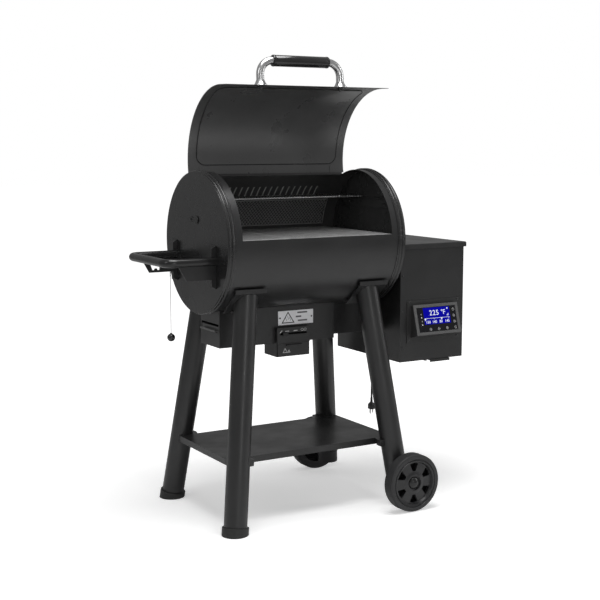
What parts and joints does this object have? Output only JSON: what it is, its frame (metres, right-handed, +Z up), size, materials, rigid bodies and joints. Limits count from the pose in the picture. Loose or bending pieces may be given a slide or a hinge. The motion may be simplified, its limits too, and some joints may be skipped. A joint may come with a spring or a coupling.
{
  "type": "pellet smoker grill",
  "caption": "Horizontal steel barrel smoker on four splayed legs with a hinged lid, side pellet hopper and controller, push handle, wheels and a lower shelf.",
  "frame": {"origin": "on the floor under the middle of the whole object's length and depth, cords left out", "axes": "+X along the barrel towards the hopper, +Y from the front to the back, +Z up"},
  "size_m": [1.1726, 0.7036, 1.5644],
  "materials": {
    "black_powder_coat": "satin black powder coat, fine texture",
    "interior_enamel": "matt black enamel",
    "rack_wire": "dull plated wire",
    "grate_iron": "matt enamelled cast iron",
    "pot_iron": "rough cast",
    "bare_steel": "plain steel",
    "moulded_plastic": "matt black moulding",
    "plate_aluminium": "brushed aluminium",
    "tray_aluminium": "dull pressed aluminium",
    "galvanised_steel": "galvanised sheet",
    "textured_plastic": "grained dark grey moulding",
    "display_glass": "gloss black window",
    "handle_chrome": "polished chrome",
    "grip_gloss": "gloss black phenolic",
    "black_gloss_coat": "semi-gloss black coat",
    "wheel_plastic": "semi-gloss black moulding",
    "cable_steel": "thin plated steel cable",
    "cord_rubber": "black flexible jacket",
    "screw_black": "black zinc",
    "button_silicone": "dark key cap"
  },
  "bodies": {
    "grill": {"barrel_shell": "black_powder_coat", "left_end_cap": "black_powder_coat", "right_end_cap": "black_powder_coat", "exhaust_hood": "black_powder_coat", "rear_baffle": "interior_enamel", "support_rails": "interior_enamel", "warming_rack": "rack_wire", "cooking_grates": "grate_iron", "drip_pan": "interior_enamel", "heat_deflector": "interior_enamel", "fire_pot": "pot_iron", "igniter_rod": "bare_steel", "auger_tube": "bare_steel", "auger_motor": "bare_steel", "blower_housing": "moulded_plastic", "base_housing": "black_powder_coat", "feed_duct": "black_powder_coat", "info_plate": "plate_aluminium", "cleanout_housing": "black_powder_coat", "hopper_shell": "black_powder_coat", "hopper_bin": "galvanised_steel", "hopper_guard": "rack_wire", "controller_housing": "textured_plastic", "display_glass": "display_glass", "hinge_brackets": "black_gloss_coat", "side_handle": "black_gloss_coat", "side_brackets": "black_powder_coat", "legs": "black_powder_coat", "saddle_brackets": "black_powder_coat", "foot_caps": "moulded_plastic", "axle_bolts": "black_gloss_coat", "lower_shelf": "black_powder_coat", "tether_cable": "cable_steel", "tether_ball": "grip_gloss", "power_lead": "cord_rubber", "lead_coil": "cord_rubber", "power_plug": "cord_rubber", "cord_fittings": "cord_rubber", "screws": "screw_black"},
    "lid": {"lid_shell": "black_powder_coat", "lid_liner": "interior_enamel", "lid_handle_tube": "handle_chrome", "lid_handle_grip": "grip_gloss"},
    "hopper_lid": {"hopper_lid": "black_powder_coat"},
    "front_wheel": {"front_wheel": "wheel_plastic"},
    "rear_wheel": {"rear_wheel": "wheel_plastic"},
    "auger": {"auger_screw": "pot_iron"},
    "blower": {"blower_impeller": "bare_steel"},
    "ash_drawer": {"ash_drawer": "black_powder_coat"},
    "grease_tray": {"grease_tray": "tray_aluminium"},
    "cleanout": {"cleanout_lever": "black_gloss_coat"},
    "dump_gate": {"dump_gate": "black_powder_coat"},
    "port_cover": {"port_cover": "black_gloss_coat"},
    "button_1": {"button_1": "button_silicone"},
    "button_2": {"button_2": "button_silicone"},
    "button_3": {"button_3": "button_silicone"},
    "button_4": {"button_4": "button_silicone"},
    "button_5": {"button_5": "button_silicone"},
    "button_6": {"button_6": "button_silicone"},
    "button_7": {"button_7": "button_silicone"}
  },
  "joints": [
    {"name": "lid_hinge", "type": "hinge", "parent": "grill", "child": "lid", "pos_m": [-0.05275, 0.11206, 1.15818], "axis": [1, 0, 0], "range_deg": [0, 76]},
    {"name": "hopper_lid_hinge", "type": "hinge", "parent": "grill", "child": "hopper_lid", "pos_m": [0.44175, 0.226, 0.912], "axis": [-1, 0, 0], "range_deg": [0, 85]},
    {"name": "front_wheel_axle", "type": "hinge", "parent": "grill", "child": "front_wheel", "pos_m": [0.26779, -0.32533, 0.1015], "axis": [0, 1, 0], "continuous": true},
    {"name": "rear_wheel_axle", "type": "hinge", "parent": "grill", "child": "rear_wheel", "pos_m": [0.26779, 0.32533, 0.1015], "axis": [0, 1, 0], "continuous": true},
    {"name": "auger_spin", "type": "hinge", "parent": "grill", "child": "auger", "pos_m": [0.24725, 0, 0.669], "axis": [1, 0, 0], "continuous": true},
    {"name": "blower_spin", "type": "hinge", "parent": "grill", "child": "blower", "pos_m": [0.37925, -0.036, 0.574], "axis": [0, 1, 0], "continuous": true},
    {"name": "ash_drawer_slide", "type": "slide", "parent": "grill", "child": "ash_drawer", "axis": [0, -1, 0], "range_m": [0, 0.08]},
    {"name": "grease_tray_slide", "type": "slide", "parent": "grill", "child": "grease_tray", "axis": [-1, 0, 0], "range_m": [0, 0.16]},
    {"name": "cleanout_slide", "type": "slide", "parent": "grill", "child": "cleanout", "axis": [1, 0, 0], "range_m": [0, 0.04]},
    {"name": "dump_gate_slide", "type": "slide", "parent": "grill", "child": "dump_gate", "axis": [0, -1, 0], "range_m": [0, 0.07]},
    {"name": "port_cover_pivot", "type": "hinge", "parent": "grill", "child": "port_cover", "pos_m": [-0.39725, 0.03, 1.02], "axis": [1, 0, 0], "range_deg": [-90, 60]},
    {"name": "button_1_press", "type": "slide", "parent": "grill", "child": "button_1", "axis": [0, 0.9613, -0.2756], "range_m": [0, 0.001], "stiffness_N_per_m": 400},
    {"name": "button_2_press", "type": "slide", "parent": "grill", "child": "button_2", "axis": [0, 0.9613, -0.2756], "range_m": [0, 0.001], "stiffness_N_per_m": 400},
    {"name": "button_3_press", "type": "slide", "parent": "grill", "child": "button_3", "axis": [0, 0.9613, -0.2756], "range_m": [0, 0.001], "stiffness_N_per_m": 400},
    {"name": "button_4_press", "type": "slide", "parent": "grill", "child": "button_4", "axis": [0, 0.9613, -0.2756], "range_m": [0, 0.001], "stiffness_N_per_m": 400},
    {"name": "button_5_press", "type": "slide", "parent": "grill", "child": "button_5", "axis": [0, 0.9613, -0.2756], "range_m": [0, 0.001], "stiffness_N_per_m": 400},
    {"name": "button_6_press", "type": "slide", "parent": "grill", "child": "button_6", "axis": [0, 0.9613, -0.2756], "range_m": [0, 0.001], "stiffness_N_per_m": 400},
    {"name": "button_7_press", "type": "slide", "parent": "grill", "child": "button_7", "axis": [0, 0.9613, -0.2756], "range_m": [0, 0.001], "stiffness_N_per_m": 400}
  ]
}
